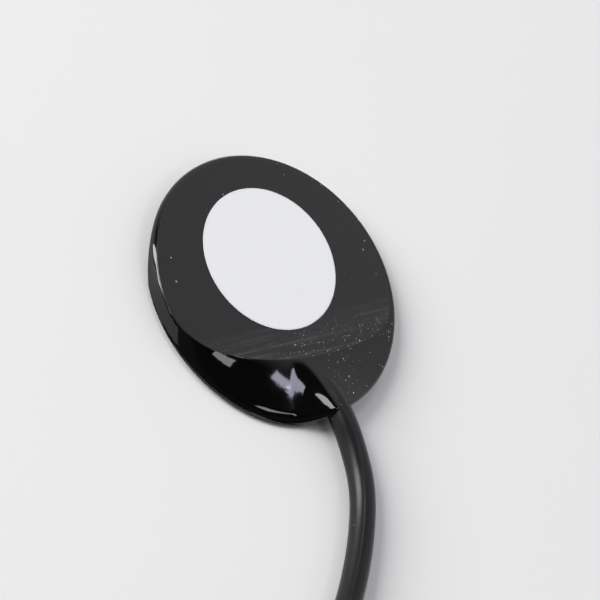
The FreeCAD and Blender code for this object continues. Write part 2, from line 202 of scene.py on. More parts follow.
class StageSettings(bpy.types.PropertyGroup):
    """Floor, light and camera."""

    floor_size: size("Floor size", "Side of the square floor", 3000.0)
    floor_color: tint("Floor", "Colour of the floor", 0.86, 0.86, 0.853)
    surround: share("Surround", "Brightness of the white surround behind the head", 0.72, 10.0)
    window: share("Window", "Brightness of the main window, on the near left", 12.5, 100.0)
    lens: bpy.props.FloatProperty(name="Lens", description="Focal length", default=180.0, min=1.0, unit="CAMERA")
    distance: size("Distance", "How far the camera stands from the head", 227.0)


# Meshes

def add_piece(name, points, faces, material, smooth=True):
    """A mesh object at the origin from an array of points and a list of face index arrays."""
    mesh = bpy.data.meshes.new(name)
    mesh.from_pydata(points.reshape(-1, 3).tolist(), [], [face for block in faces for face in block.tolist()])
    mesh.polygons.foreach_set("use_smooth", np.full(len(mesh.polygons), smooth))
    mesh.materials.append(material)
    mesh.update()
    piece = bpy.data.objects.new(name, mesh)
    bpy.context.scene.collection.objects.link(piece)
    return piece


def grid_quads(rows, columns, wrap_rows=False):
    """Quads between the points of a grid whose columns close on themselves, and whose rows do if asked."""
    index = np.arange(rows * columns).reshape(rows, columns)
    if wrap_rows:
        index = np.vstack([index, index[:1]])
    index = np.hstack([index, index[:, :1]])
    corners = index[:-1, :-1], index[1:, :-1], index[1:, 1:], index[:-1, 1:]
    return np.stack([corner.ravel() for corner in corners], axis=1)


def capped_grid(rings, first_pole, last_pole):
    """Points and faces of rings that close in a pole at either end."""
    rows, columns = rings.shape[:2]
    points = np.vstack([rings.reshape(-1, 3), first_pole, last_pole])
    around = np.arange(columns)
    after = np.roll(around, -1)
    last = (rows - 1) * columns
    first_fan = np.stack([np.full(columns, rows * columns), around, after], axis=1)
    last_fan = np.stack([np.full(columns, rows * columns + 1), last + after, last + around], axis=1)
    return points, [grid_quads(rows, columns), first_fan, last_fan]


def ease(t):
    """A smooth step from 0 to 1: three t squared less two t cubed."""
    t = np.clip(t, 0.0, 1.0)
    return t * t * (3 - 2 * t)


CORNER_STEPS = 4


def eased_corners(corners, radius):
    """A closed (along, radius) outline with every corner rounded.

    Each corner becomes a quadratic curve: (1-t) squared times a point one radius back on the run before it, plus
    2t(1-t) times the corner, plus t squared times a point one radius ahead. The setback is held under a third of a run.
    """
    here = np.array(corners, float)
    back = np.roll(here, 1, axis=0) - here
    ahead = np.roll(here, -1, axis=0) - here
    back_length = np.linalg.norm(back, axis=1, keepdims=True)
    ahead_length = np.linalg.norm(ahead, axis=1, keepdims=True)
    start = here + back / back_length * np.minimum(radius, back_length / 3)
    end = here + ahead / ahead_length * np.minimum(radius, ahead_length / 3)
    t = np.linspace(0, 1, CORNER_STEPS)[None, :, None]
    curve = (1 - t) ** 2 * start[:, None] + 2 * t * (1 - t) * here[:, None] + t ** 2 * end[:, None]
    return curve.reshape(-1, 2)


# Materials

def node(tree, kind, options=None, inputs=None):
    """Adds a node, sets its options and fills its inputs: an output socket is linked and anything else is stored."""
    made = tree.nodes.new(kind)
    for key, value in (options or {}).items():
        setattr(made, key, value)
    for key, value in (inputs or {}).items():
        if isinstance(value, bpy.types.NodeSocket):
            tree.links.new(value, made.inputs[key])
        else:
            made.inputs[key].default_value = value
    return made


def math_node(tree, operation, first, second=0.0, clamp=False):
    """One sum on values, as an output socket."""
    return node(tree, "ShaderNodeMath", {"operation": operation, "use_clamp": clamp}, {0: first, 1: second}).outputs[0]


def span(tree, value, low, high, out_low=0.0, out_high=1.0):
    """A value carried from one range smoothly to another, as an output socket."""
    return node(
        tree, "ShaderNodeMapRange", {"interpolation_type": "SMOOTHSTEP"},
        {"Value": value, "From Min": low, "From Max": high, "To Min": out_low, "To Max": out_high},
    ).outputs["Result"]


def start_group(name, inputs, outputs):
    """An empty shader group with its named sockets, and its input and output nodes."""
    group = bpy.data.node_groups.new(name, "ShaderNodeTree")
    for label, kind, default in inputs:
        socket = group.interface.new_socket(name=label, in_out="INPUT", socket_type=kind)
        if default is not None:
            socket.default_value = default
    for label, kind in outputs:
        group.interface.new_socket(name=label, in_out="OUTPUT", socket_type=kind)
    return group, group.nodes.new("NodeGroupInput"), group.nodes.new("NodeGroupOutput")


def dust_group():
    """Scattered specks: the middles of random cells, kept where the cell's own random value is low enough."""
    group, given, out = start_group(
        "Dust Specks",
        [("Vector", "NodeSocketVector", None), ("Cells", "NodeSocketFloat", 2500.0),
         ("Amount", "NodeSocketFloat", 0.1)],
        [("Mask", "NodeSocketFloat")],
    )
    bend = node(group, "ShaderNodeTexNoise", None, {"Vector": given.outputs["Vector"], "Scale": 1800.0})
    lean = node(group, "ShaderNodeVectorMath", {"operation": "SCALE"}, {0: bend.outputs["Color"], "Scale": 0.0004})
    place = node(group, "ShaderNodeVectorMath", {"operation": "ADD"}, {0: given.outputs["Vector"], 1: lean.outputs[0]})
    cells = node(group, "ShaderNodeTexVoronoi", None, {"Vector": place.outputs[0], "Scale": given.outputs["Cells"]})
    parts = node(group, "ShaderNodeSeparateColor", None, {"Color": cells.outputs["Color"]})
    kept = math_node(group, "LESS_THAN", parts.outputs["Red"], given.outputs["Amount"])
    reach = span(group, parts.outputs["Green"], 0.0, 1.0, 0.07, 0.28)
    near = math_node(group, "SUBTRACT", reach, cells.outputs["Distance"])
    mask = math_node(group, "MULTIPLY", kept, span(group, near, 0.0, 0.06))
    group.links.new(math_node(group, "MULTIPLY", mask, parts.outputs["Blue"], True), out.inputs["Mask"])
    return group


def streak_group():
    """Fine parallel scratches: noise stretched along one axis, only its crests kept, broken up by wide noise."""
    group, given, out = start_group(
        "Rubbed Streaks",
        [("Vector", "NodeSocketVector", None), ("Stretch", "NodeSocketVector", (1.0, 1.0, 1.0)),
         ("Keep", "NodeSocketFloat", 0.5)],
        [("Mask", "NodeSocketFloat")],
    )
    stretched = node(group, "ShaderNodeVectorMath", {"operation": "MULTIPLY"},
                     {0: given.outputs["Vector"], 1: given.outputs["Stretch"]})
    lines = node(group, "ShaderNodeTexNoise", None, {"Vector": stretched.outputs[0], "Scale": 1.0, "Detail": 3.0})
    patches = node(group, "ShaderNodeTexNoise", None,
                   {"Vector": given.outputs["Vector"], "Scale": 350.0, "Detail": 2.0})
    level = math_node(group, "SUBTRACT", 1.0, math_node(group, "MULTIPLY", given.outputs["Keep"], 0.5))
    crest = span(group, math_node(group, "SUBTRACT", lines.outputs["Fac"], level), -0.12, 0.1)
    broken = math_node(group, "MULTIPLY", crest, span(group, patches.outputs["Fac"], 0.35, 0.65, 0.25, 1.0), True)
    group.links.new(broken, out.inputs["Mask"])
    return group


def uneven_group():
    """A value that wanders between two levels, for roughness that isn't the same all over."""
    group, given, out = start_group(
        "Uneven Surface",
        [("Vector", "NodeSocketVector", None), ("Scale", "NodeSocketFloat", 400.0),
         ("Low", "NodeSocketFloat", 0.3), ("High", "NodeSocketFloat", 0.4)],
        [("Value", "NodeSocketFloat"), ("Height", "NodeSocketFloat")],
    )
    noise = node(group, "ShaderNodeTexNoise", None,
                 {"Vector": given.outputs["Vector"], "Scale": given.outputs["Scale"], "Detail": 4.0})
    level = node(group, "ShaderNodeMapRange", None,
                 {"Value": noise.outputs["Fac"], "From Min": 0.3, "From Max": 0.7,
                  "To Min": given.outputs["Low"], "To Max": given.outputs["High"]})
    group.links.new(level.outputs["Result"], out.inputs["Value"])
    group.links.new(noise.outputs["Fac"], out.inputs["Height"])
    return group


def turned_group():
    """Fine rings round an axis that lies along Y, as a lathe leaves them."""
    group, given, out = start_group(
        "Lathe Rings",
        [("Vector", "NodeSocketVector", None), ("Rings", "NodeSocketFloat", 9000.0)],
        [("Height", "NodeSocketFloat")],
    )
    parts = node(group, "ShaderNodeSeparateXYZ", None, {"Vector": given.outputs["Vector"]})
    along = math_node(group, "MULTIPLY", parts.outputs["Y"], given.outputs["Rings"])
    noise = node(group, "ShaderNodeTexNoise", {"noise_dimensions": "1D"}, {"W": along, "Scale": 1.0, "Detail": 2.0})
    group.links.new(noise.outputs["Fac"], out.inputs["Height"])
    return group


GROUP_MAKERS = {
    "Dust Specks": dust_group,
    "Rubbed Streaks": streak_group,
    "Uneven Surface": uneven_group,
    "Lathe Rings": turned_group,
}


def effect(tree, name, coords, **inputs):
    """One shared effect placed in a material. The group is built the first time that it is asked for."""
    group = bpy.data.node_groups.get(name) or GROUP_MAKERS[name]()
    return node(tree, "ShaderNodeGroup", {"node_tree": group}, {"Vector": coords, **inputs})


def start_material(name, color, roughness, metallic=0.0):
    """A new material: its tree, its shader and the object coordinates. The numbers are what its nodes don't change."""
    material = bpy.data.materials.new(name)
    material.use_nodes = True
    material.diffuse_color = (*color, 1.0)
    tree = material.node_tree
    shader = tree.nodes["Principled BSDF"]
    shader.inputs["Base Color"].default_value = (*color, 1.0)
    shader.inputs["Roughness"].default_value = roughness
    shader.inputs["Metallic"].default_value = metallic
    return material, tree, shader, node(tree, "ShaderNodeTexCoord").outputs["Object"]


def tinted(tree, mask, base, over):
    """A colour that goes from base, which may be another node's output, to over as the mask goes from 0 to 1."""
    under = base if isinstance(base, bpy.types.NodeSocket) else (*base, 1.0)
    return node(tree, "ShaderNodeMix", {"data_type": "RGBA"},
                {"Factor": mask, "A": under, "B": (*over, 1.0)}).outputs["Result"]


def raised(tree, height, distance, strength=1.0, under=None):
    """A bump from a height, on top of another bump if one is given."""
    inputs = {"Height": height, "Distance": distance, "Strength": strength}
    if under is not None:
        inputs["Normal"] = under
    return node(tree, "ShaderNodeBump", None, inputs).outputs["Normal"]


def feed(tree, shader, **sockets):
    """Links outputs to the shader's inputs, whose names are written with underscores."""
    for name, socket in sockets.items():
        tree.links.new(socket, shader.inputs[name.replace("_", " ")])


def plain_finish(name, color, low, high, metallic=0.0, scale=900.0, relief=0.004):
    """A finish for a small piece: uneven roughness from low to high and a faint relief in millimetres."""
    material, tree, shader, coords = start_material(name, color, low, metallic)
    uneven = effect(tree, "Uneven Surface", coords, Scale=scale, Low=low, High=high)
    darker = tuple(0.82 * part for part in color)
    feed(tree, shader, Roughness=uneven.outputs["Value"],
         Base_Color=tinted(tree, uneven.outputs["Height"], color, darker),
         Normal=raised(tree, uneven.outputs["Height"], relief * MM))
    return material


def resin_material(head):
    """Black gloss: slow waves in the surface, a few sunken bubbles, and dust on the far side of the lead."""
    material, tree, shader, coords = start_material("Cast resin", head.resin_color, 0.03)
    shader.inputs["IOR"].default_value = 1.5
    waves = effect(tree, "Uneven Surface", coords, Scale=260.0, Low=0.025, High=0.06)
    bubbles = effect(tree, "Dust Specks", coords, Cells=900.0, Amount=0.05)
    specks = effect(tree, "Dust Specks", coords, Cells=5000.0, Amount=0.8 * head.dust)
    parts = node(tree, "ShaderNodeSeparateXYZ", None, {"Vector": coords})
    far_side = span(tree, parts.outputs["Y"], 0.8 * MM, 2.2 * MM)
    dusty = math_node(tree, "MULTIPLY", specks.outputs["Mask"], far_side)
    ripple = raised(tree, waves.outputs["Height"], 0.012 * MM)
    feed(tree, shader,
         Base_Color=tinted(tree, dusty, head.resin_color, (0.55, 0.53, 0.5)),
         Roughness=math_node(tree, "ADD", waves.outputs["Value"], math_node(tree, "MULTIPLY", dusty, 0.5)),
         Normal=raised(tree, bubbles.outputs["Mask"], -0.02 * MM, 1.0, ripple))
    return material


def film_material(head):
    """Black film: soft sheen, a rubbed band before the cut with streaks along it, and dust that gathers there."""
    material, tree, shader, coords = start_material("Face film", head.film_color, 0.26)
    shader.inputs["IOR"].default_value = 1.5
    parts = node(tree, "ShaderNodeSeparateXYZ", None, {"Vector": coords})
    band = span(tree, parts.outputs["X"], 2.9 * MM, 3.9 * MM)
    streaks = effect(tree, "Rubbed Streaks", coords, Stretch=(3800.0, 90.0, 90.0), Keep=head.scuffs)
    hairlines = effect(tree, "Rubbed Streaks", coords, Stretch=(9000.0, 260.0, 90.0), Keep=0.8 * head.scuffs)
    uneven = effect(tree, "Uneven Surface", coords, Scale=500.0, Low=0.22, High=0.3)
    toward_cut = span(tree, parts.outputs["X"], 3.6 * MM, 6.2 * MM, 0.12, 1.0)
    few = effect(tree, "Dust Specks", coords, Cells=3200.0, Amount=0.05 * head.dust)
    many = effect(tree, "Dust Specks", coords, Cells=5200.0, Amount=1.8 * head.dust)
    side = math_node(tree, "MULTIPLY", toward_cut, span(tree, parts.outputs["Y"], -3.5 * MM, 1.5 * MM, 0.1, 1.0))
    dust = math_node(tree, "MAXIMUM", few.outputs["Mask"],
                     math_node(tree, "MULTIPLY", many.outputs["Mask"], math_node(tree, "MULTIPLY", side, band)))
    rubbed = math_node(tree, "MULTIPLY", band, math_node(tree, "ADD", 0.15, streaks.outputs["Mask"]), True)
    lines = math_node(tree, "MULTIPLY", hairlines.outputs["Mask"], band)
    worn = tinted(tree, rubbed, head.film_color, (0.034, 0.034, 0.035))
    scratched = tinted(tree, lines, worn, (0.06, 0.06, 0.062))
    feed(tree, shader, Base_Color=tinted(tree, dust, scratched, (0.62, 0.60, 0.56)),
         Roughness=math_node(tree, "ADD", uneven.outputs["Value"], math_node(tree, "MULTIPLY", rubbed, 0.12)),
         Normal=raised(tree, math_node(tree, "ADD", uneven.outputs["Height"], lines), 0.003 * MM))
    return material


def label_material(head):
    """Smooth white: a very faint mottling, and an edge that has gone a little grey."""
    material, tree, shader, coords = start_material("White label", head.label_color, 0.32)
    uneven = effect(tree, "Uneven Surface", coords, Scale=700.0, Low=0.28, High=0.38)
    centred = node(tree, "ShaderNodeVectorMath", {"operation": "SUBTRACT"},
                   {0: coords, 1: (head.label_x, head.label_y, 0.0)})
    flat = node(tree, "ShaderNodeVectorMath", {"operation": "MULTIPLY"}, {0: centred.outputs[0], 1: (1.0, 1.0, 0.0)})
    away = node(tree, "ShaderNodeVectorMath", {"operation": "LENGTH"}, {0: flat.outputs[0]}).outputs["Value"]
    edge = span(tree, away, head.label_radius - 0.25 * MM, head.label_radius + 0.05 * MM, 0.0, 0.5)
    greyed = math_node(tree, "ADD", edge, math_node(tree, "MULTIPLY", uneven.outputs["Height"], 0.12), True)
    feed(tree, shader, Base_Color=tinted(tree, greyed, head.label_color, (0.62, 0.64, 0.67)),
         Roughness=uneven.outputs["Value"], Normal=raised(tree, uneven.outputs["Height"], 0.002 * MM))
    return material


def jacket_material(lead):
    """Satin dark grey jacket: fine grain, rubbed lighter in places, with a little dust."""
    material, tree, shader, coords = start_material("Lead jacket", lead.jacket_color, 0.42)
    shader.inputs["IOR"].default_value = 1.33
    wide = effect(tree, "Uneven Surface", coords, Scale=260.0, Low=0.27, High=0.36)
    grain = effect(tree, "Uneven Surface", coords, Scale=4200.0, Low=0.0, High=1.0)
    specks = effect(tree, "Dust Specks", coords, Cells=2600.0, Amount=0.02)
    rubbed = tinted(tree, wide.outputs["Height"], lead.jacket_color, tuple(1.5 * part for part in lead.jacket_color))
    feed(tree, shader, Base_Color=tinted(tree, specks.outputs["Mask"], rubbed, (0.3, 0.3, 0.3)),
         Roughness=wide.outputs["Value"],
         Normal=raised(tree, grain.outputs["Height"], 0.004 * MM))
    return material


def plating_material(name, color):
    """Nickel plating on turned metal: lathe rings, uneven gloss and a few darker handling marks."""
    material, tree, shader, coords = start_material(name, color, 0.18, 1.0)
    rings = effect(tree, "Lathe Rings", coords, Rings=14000.0)
    wide = effect(tree, "Uneven Surface", coords, Scale=320.0, Low=0.12, High=0.28)
    marks = effect(tree, "Rubbed Streaks", coords, Stretch=(500.0, 2600.0, 500.0), Keep=0.3)
    darker = tuple(0.72 * part for part in color)
    feed(tree, shader, Base_Color=tinted(tree, marks.outputs["Mask"], color, darker),
         Roughness=math_node(tree, "ADD", wide.outputs["Value"],
                             math_node(tree, "MULTIPLY", marks.outputs["Mask"], 0.15)),
         Normal=raised(tree, rings.outputs["Height"], 0.0025 * MM))
    return material


# Head

SNOUT_MIDDLE = math.radians(-14.0)
SHORT_SIDE = math.radians(-105.0)
FILM_TO_RIM = 0.32 * MM
FILM_STANDS_OUT = 0.015 * MM
STEP_AT_LEAST = 0.02 * MM
RIDGE_POWER = 1.3
WALL_POWER = 1.2


def rim_radius(angle, head):
    """Outline of the head seen from above.

    The radius, less the off-round amount times the cosine of the angle from its short side, plus a snout: its length
    times e to the minus square of the arc from its middle, just before the lead, over its width on that side.
    """
    off = angle_off(angle - SNOUT_MIDDLE)
    width = np.where(off < 0, head.snout_near, head.snout_far)
    return (head.radius - head.off_round * np.cos(angle - SHORT_SIDE)
            + head.snout_length * np.exp(-((off * head.radius / width) ** 2)))


def film_reach(angle, head):
    """How far the film reaches from the middle: its own radius, or the cut's arc where that is nearer.

    On a ray, the arc is met where the distance t solves t squared less 2t(c.u) plus c squared less R squared = 0. The
    nearer of the two is taken softly, as minus k times the logarithm of the sum of e to minus each over k, where k is
    the film's corner on the steep side and half of it on the other. The softening fades out away from the cut.
    """
    centre_x, centre_y = head.cut_reach - head.cut_radius, head.cut_side
    toward = centre_x * np.cos(angle) + centre_y * np.sin(angle)
    to_cut = toward + np.sqrt(toward ** 2 - centre_x ** 2 - centre_y ** 2 + head.cut_radius ** 2)
    to_rim = np.minimum(head.film_radius, rim_radius(angle, head) - FILM_TO_RIM)
    soft = head.film_corner * (0.75 - 0.25 * np.sin(angle))
    nearer, gap = np.minimum(to_cut, to_rim), np.abs(to_cut - to_rim)
    return nearer - soft * np.log1p(np.exp(-gap / soft)) * ease((math.pi * 0.75 - np.abs(angle_off(angle))) / 0.5)


def angle_off(angle):
    """An angle as its distance from +X, between minus and plus half a turn."""
    return (angle + math.pi) % TURN - math.pi


def flank_share(angle):
    """How much of the steep flank there is at an angle: all of it 75 to 15 degrees before +X, eased out past both."""
    off = np.degrees(angle_off(angle))
    return ease((off + 128.0) / 53.0) * ease((4.0 - off) / 19.0)


def resin_height(x, y, head):
    """Height of the resin's top over a point of the bench.

    A hair under the film's top where the film lies. Past the cut, the ridge adds its rise, times a power of the way to
    the rim, over one plus the square of the distance across it in half widths. On the steep side the flank takes the
    near drop off, evenly from the film's edge to the rim.
    """
    angle, out = np.arctan2(y, x), np.hypot(x, y)
    past_cut = np.hypot(x - (head.cut_reach - head.cut_radius), y - head.cut_side) - head.cut_radius
    beyond = np.clip(past_cut / (head.radius - head.cut_reach), 0.0, 1.0)
    across = y - head.exit_side
    width = np.where(across < 0, head.ridge_near, head.ridge_far)
    ridge = head.ridge_rise * beyond ** RIDGE_POWER / (1 + (across / width) ** 2)
    reach = film_reach(angle, head)
    down_flank = np.clip((out - reach) / (rim_radius(angle, head) - reach), 0.0, 1.0)
    drop = head.near_drop * down_flank * flank_share(angle)
    return head.face_height + head.film_thickness - FILM_STANDS_OUT + ridge - drop


def resin_rings(head, columns=540):
    """The resin's outside as rings from the middle of its top to the middle of its underside.

    The top rings follow the film's edge and the height formula, less a quarter circle over the rounded edge. The wall
    leans in by its inset times a power of the way down, and the foot is a quarter circle.
    """
    film_rows, top_rows, edge_rows, wall_rows, foot_rows = 10, 49, 20, 12, 8
    angle = np.arange(columns) * TURN / columns
    outer = rim_radius(angle, head)
    rounding = head.edge_radius * (1 - 0.3 * np.sin(angle)) + head.flank_edge * flank_share(angle)
    edge_start = outer - rounding
    reach = np.minimum(film_reach(angle, head), edge_start - STEP_AT_LEAST)
    under_film = np.linspace(0.08, 1.0, film_rows)[:, None] * reach
    past_film = reach + np.linspace(0, 1, top_rows)[1:, None] * (edge_start - reach)
    top_radius = np.vstack([under_film, past_film])
    swing = np.linspace(0, math.pi / 2, edge_rows)[1:, None]
    edge_radius = edge_start + rounding * np.sin(swing)
    radius = np.vstack([top_radius, edge_radius])
    height = resin_height(radius * np.cos(angle), radius * np.sin(angle), head)
    height -= rounding * np.vstack([np.zeros((len(top_radius), 1)), 1 - np.cos(swing)])
    height = np.maximum(height, head.foot_height + STEP_AT_LEAST)
    down = np.linspace(0, 1, wall_rows)[1:, None]
    wall_radius = outer - head.foot_inset * down ** WALL_POWER
    wall_height = height[-1] + (head.foot_height - height[-1]) * down
    foot = np.linspace(0, math.pi / 2, foot_rows)[1:, None]
    foot_radius = wall_radius[-1] - head.foot_height * (1 - np.cos(foot))
    foot_level = head.foot_height * (1 - np.sin(foot)) + 0 * outer
    under = np.linspace(1.0, 0.2, 4)[1:, None] * foot_radius[-1]
    radius = np.vstack([radius, wall_radius, foot_radius, under])
    height = np.vstack([height, wall_height, foot_level, 0 * under])
    return np.stack([radius * np.cos(angle), radius * np.sin(angle), height], axis=2)


def sheet_rings(reach, bottom, thickness, centre, rows=10):
    """A thin flat piece as rings: its reach at each angle, a top and an underside, with a rounded edge.

    The edge is a half ellipse as high as the piece and as deep as half its thickness.
    """
    angle = np.arange(len(reach)) * TURN / len(reach)
    swing = np.linspace(-math.pi / 2, math.pi / 2, 7)[:, None]
    top_way = np.linspace(0.1, 1.0, rows)[:, None]
    bevel = thickness / 2
    radius = np.vstack([
        top_way * (reach - bevel),
        reach - bevel + bevel * np.cos(swing),
        top_way[::-1] * (reach - bevel),
    ])
    height = np.vstack([
        np.full((rows, 1), bottom + thickness),
        bottom + thickness * (1 - np.sin(swing)) / 2,
        np.full((rows, 1), bottom),
    ]) + 0 * angle
    return np.stack([centre[0] + radius * np.cos(angle), centre[1] + radius * np.sin(angle), height], axis=2)


class PICKUP_OT_head(bpy.types.Operator):
    """Builds the cast head with its ridge over the lead"""

    bl_idname = "pickup.head"
    bl_label = "Cast head"

    def execute(self, context):
        head = context.scene.pickup_head
        rings = resin_rings(head)
        top = rings[0].mean(axis=0)
        points, faces = capped_grid(rings, top, (0.0, 0.0, 0.0))
        piece = add_piece("cast_head", points, faces, resin_material(head))
        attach(piece, BODY)
        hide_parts("resin_body")
        return {"FINISHED"}


class PICKUP_OT_face(bpy.types.Operator):
    """Lays the film on the face and the label on the film"""

    bl_idname = "pickup.face"
    bl_label = "Film and label"

    film_columns = 720
    label_columns = 240

    def execute(self, context):
        head = context.scene.pickup_head
        angle = np.arange(self.film_columns) * TURN / self.film_columns
        film_bottom = head.face_height
        film_top = film_bottom + head.film_thickness
        rings = sheet_rings(film_reach(angle, head), film_bottom, head.film_thickness, (0.0, 0.0))
        points, faces = capped_grid(rings, (0.0, 0.0, film_top), (0.0, 0.0, film_bottom))
        film = add_piece("film_sheet", points, faces, film_material(head))
        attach(film, BODY)
        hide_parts("face_film")

        middle = (head.label_x, head.label_y)
        reach = np.full(self.label_columns, head.label_radius)
        rings = sheet_rings(reach, film_top, head.label_thickness, middle)
        points, faces = capped_grid(rings, (*middle, film_top + head.label_thickness), (*middle, film_top))
        label = add_piece("label_disc", points, faces, label_material(head))
        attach(label, BODY)
        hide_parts("white_label")
        return {"FINISHED"}


# Inner pieces with their colour, least and greatest roughness, metallic, and the scale and relief of the unevenness
FINISHES = {
    "Plate brass": (("brass_plate",), (0.78, 0.58, 0.27), 0.24, 0.36, 1.0, 500.0, 0.003),
    "Bender ceramic": (("piezo_ceramic",), (0.70, 0.63, 0.50), 0.6, 0.75, 0.0, 1500.0, 0.006),
    "Fired silver": (("silver_electrode",), (0.82, 0.81, 0.78), 0.38, 0.55, 1.0, 1800.0, 0.006),
    "Tinned copper": (("head_conductor", "plug_conductor", "head_shield", "plug_shield"),
                      (0.74, 0.71, 0.67), 0.25, 0.4, 1.0, 2400.0, 0.004),
    "Core insulation": (("head_dielectric", "plug_dielectric"), (0.86, 0.85, 0.81), 0.4, 0.5, 0.0, 900.0, 0.003),
    "Solder": (("signal_solder", "ground_solder", "tip_solder", "sleeve_solder"),
               (0.67, 0.68, 0.69), 0.16, 0.34, 1.0, 1600.0, 0.01),
    "Lug tin": (("tip_lug", "ground_lug"), (0.68, 0.68, 0.66), 0.28, 0.42, 1.0, 1100.0, 0.004),
    "Washer": (("rear_insulator",), (0.02, 0.02, 0.021), 0.35, 0.5, 0.0, 1400.0, 0.004),
    "Liner": (("plug_liner",), (0.80, 0.79, 0.73), 0.3, 0.45, 0.0, 700.0, 0.003),
}


class PICKUP_OT_inside(bpy.types.Operator):
    """Gives the pieces inside the head and the plug their finishes"""

    bl_idname = "pickup.inside"
    bl_label = "Inner pieces"

    def execute(self, context):
        for label, (names, *finish) in FINISHES.items():
            material = plain_finish(label, *finish)
            for name in names:
                materials = frame["nodes"][name].data.materials
                materials.clear()
                materials.append(material)
        return {"FINISHED"}


# Lead

def coil_turns(lead, per_turn=16):
    """Control points of the put-away turns, in metres.

    The angle goes round evenly. The radius falls by one diameter a turn in the bottom row, grows by one a turn in the
    row on it, and drifts in a little in the last turn on top. Each row's rise is eased in over a third of a turn. A
    control point stands off by one over the cosine of half a step, because the curve cuts inside its points. A small
    wave keeps the turns from lying too evenly.
    """
    spread = lead.columns - 1
    last_turn = 1.1
    start = math.radians(213.5)
    turns = np.arange(0, 2 * spread + last_turn, 1 / per_turn)
    inward = lead.outer_turn - lead.diameter * turns
    outward = lead.outer_turn - lead.diameter * (2 * spread - turns)
    on_top = lead.outer_turn - 0.9 * lead.diameter * ease((turns - 2 * spread) / last_turn)
    radius = np.where(turns < spread, inward, np.where(turns < 2 * spread, outward, on_top))
    climbs = ease((turns - spread + 0.12) * 3) + ease((turns - 2 * spread - 0.02) * 2.6)
    height = lead.diameter / 2 + lead.row_rise * climbs
    loose = 0.06 * MM * np.sin(turns * 2.4 + 0.6)
    radius = (radius + loose) / math.cos(math.pi / per_turn)
    angle = start + turns * TURN
    return np.stack([lead.coil_x + radius * np.cos(angle), lead.coil_y + radius * np.sin(angle), height], axis=1)


class PICKUP_OT_lead(bpy.types.Operator):
    """Lays the lead: out of the head, round the put-away coil and into the plug"""

    bl_idname = "pickup.lead"
    bl_label = "Lead"

    def execute(self, context):
        lead = context.scene.pickup_lead
        points = np.vstack([np.array(LEAD_ROUTE) * MM, coil_turns(lead), np.array(TAIL_ROUTE) * MM])
        curve = bpy.data.curves.new("lead", "CURVE")
        curve.dimensions = "3D"
        curve.resolution_u = 8
        curve.bevel_depth = lead.diameter / 2
        curve.bevel_resolution = 6
        curve.use_fill_caps = True
        spline = curve.splines.new("NURBS")
        spline.points.add(len(points) - 1)
        spline.points.foreach_set("co", np.hstack([points, np.ones((len(points), 1))]).ravel())
        thickness = np.ones(len(points))
        thickness[:len(BURIED_SHARES)] = BURIED_SHARES
        spline.points.foreach_set("radius", thickness)
        spline.order_u = 3
        spline.use_endpoint_u = True
        curve.materials.append(jacket_material(lead))
        cord = bpy.data.objects.new("lead", curve)
        context.scene.collection.objects.link(cord)
        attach(cord, BODY)
        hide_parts("cable_lead", "cable_coil", "cable_tail")
        return {"FINISHED"}


def tie_loop(lead, clearance):
    """The tie's path round the coil's section, as (radius, height) pairs.

    It is the outline of a thread pulled round the turns: for each direction, the turn that lies furthest that way, plus
    its own radius and the clearance. It is held just above the bench.
    """
    steps = np.arange(lead.columns)
    low = lead.diameter / 2
    centres = np.vstack([
        np.stack([lead.outer_turn - lead.diameter * steps, np.full(lead.columns, low)], axis=1),
        np.stack([lead.outer_turn - lead.diameter * steps, np.full(lead.columns, low + lead.row_rise)], axis=1),
        [[lead.outer_turn - 0.4 * MM, low + 2 * lead.row_rise]],
    ])
    angle = np.linspace(0, TURN, 120, endpoint=False)
    toward = np.stack([np.cos(angle), np.sin(angle)], axis=1)
    furthest = centres[np.argmax(toward @ centres.T, axis=1)]
    loop = furthest + toward * (lead.diameter / 2 + clearance)
    loop[:, 1] = np.maximum(loop[:, 1], 0.2 * MM)
    return loop


